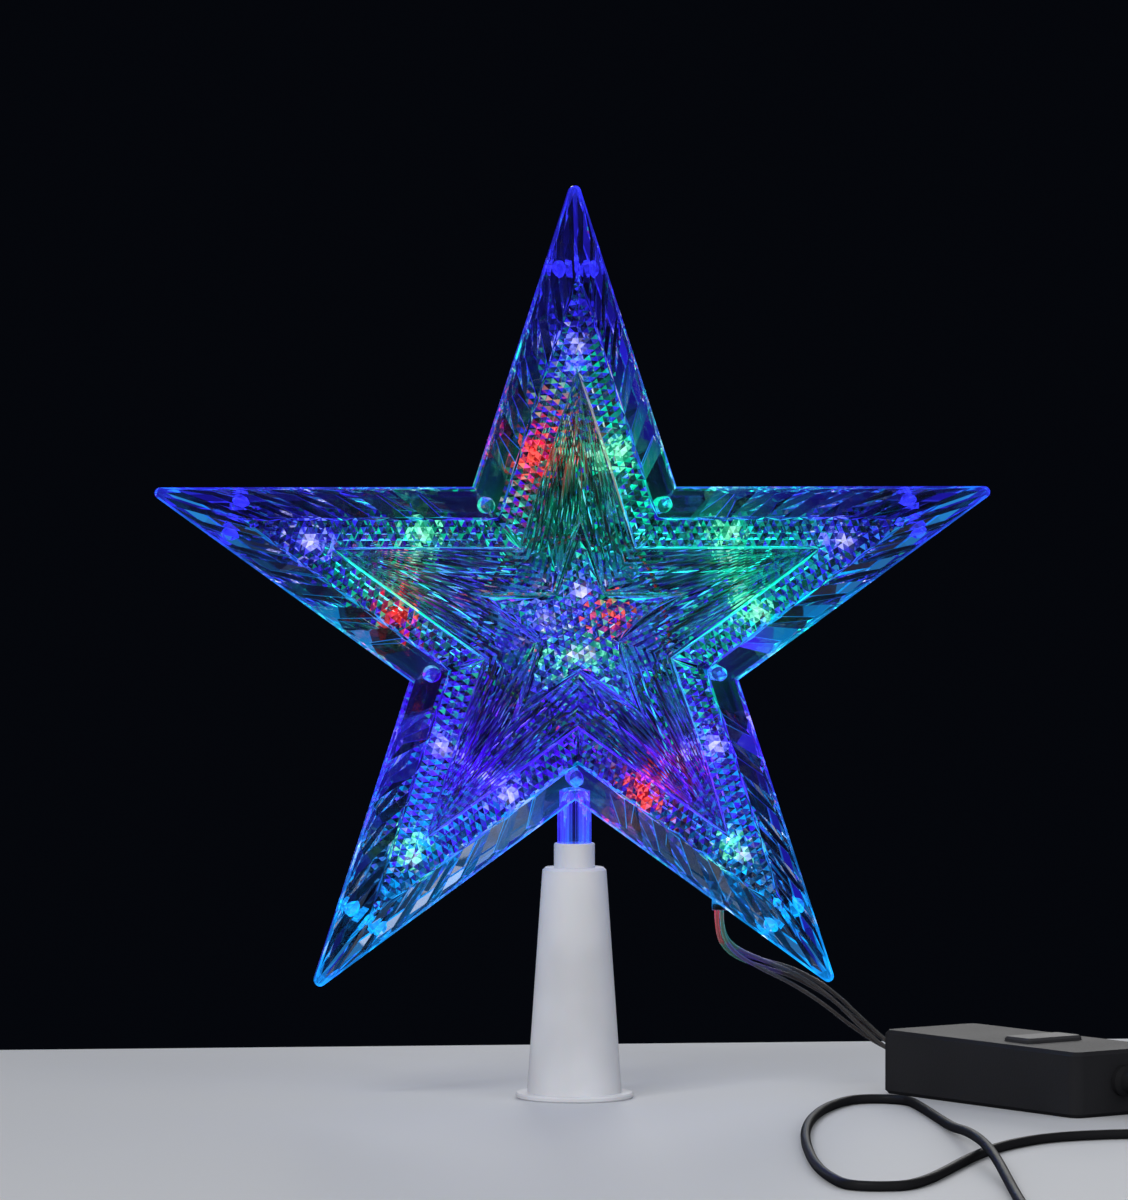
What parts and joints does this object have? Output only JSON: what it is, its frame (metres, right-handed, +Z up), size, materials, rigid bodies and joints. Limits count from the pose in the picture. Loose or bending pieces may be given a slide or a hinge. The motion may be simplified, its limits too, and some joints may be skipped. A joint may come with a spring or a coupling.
{
  "type": "tree topper star",
  "caption": "Clear five-pointed lighted tree topper with ribbed and fluted faces, a white flanged tree socket, a mode box and a mains lead with plug.",
  "frame": {"origin": "middle of the tree socket's underside", "axes": "+Z up along the socket and stem, +X to the viewer's right, the star's front faces -Y"},
  "size_m": [0.2985, 0.38, 0.2405],
  "materials": {
    "clear_plastic": "clear, glossy",
    "white_plastic": "satin",
    "red_lens": "lit lens",
    "green_lens": "lit lens",
    "blue_lens": "lit lens",
    "clear_pvc": "translucent",
    "clear_wire": "clear skin over strands",
    "black_plastic": "satin",
    "black_pvc": "satin",
    "button_plastic": "satin",
    "board_laminate": "satin",
    "component_epoxy": "matt",
    "capacitor_sleeve": "glossy",
    "plunger_plastic": "satin",
    "tie_plastic": "satin",
    "prong_metal": "nickel plated"
  },
  "bodies": {
    "star": {"front_shell": "clear_plastic", "back_shell": "clear_plastic", "red_lamps": "red_lens", "green_lamps": "green_lens", "blue_lamps": "blue_lens", "arm_lamp_sleeves": "clear_pvc", "core_lamp_sleeves": "clear_pvc", "arm_wiring": "clear_wire", "core_wiring": "clear_wire", "lead_tail": "clear_wire", "outlet_bush": "clear_pvc", "star_lead": "clear_wire", "box_tray": "black_plastic", "box_lid": "black_plastic", "circuit_board": "board_laminate", "mode_chip": "component_epoxy", "capacitor": "capacitor_sleeve", "lamp_drivers": "component_epoxy", "mode_switch": "component_epoxy", "lead_gland": "black_pvc", "mains_gland": "black_pvc", "mains_lead": "black_pvc", "mains_coil": "black_pvc", "mains_tail": "black_pvc", "coil_tie": "tie_plastic", "plug_body": "black_pvc", "plug_prongs": "prong_metal", "prong_sleeves": "black_pvc"},
    "socket": {"tree_socket": "white_plastic"},
    "button": {"mode_button": "button_plastic", "switch_plunger": "plunger_plastic"}
  },
  "joints": [
    {"name": "socket_swivel", "type": "hinge", "parent": "star", "child": "socket", "pos_m": [0, 0, 0.064], "axis": [0, 0, 1], "continuous": true},
    {"name": "button_press", "type": "slide", "parent": "star", "child": "button", "axis": [0, 0, 1], "range_m": [-0.0008, 0], "stiffness_N_per_m": 2500}
  ]
}
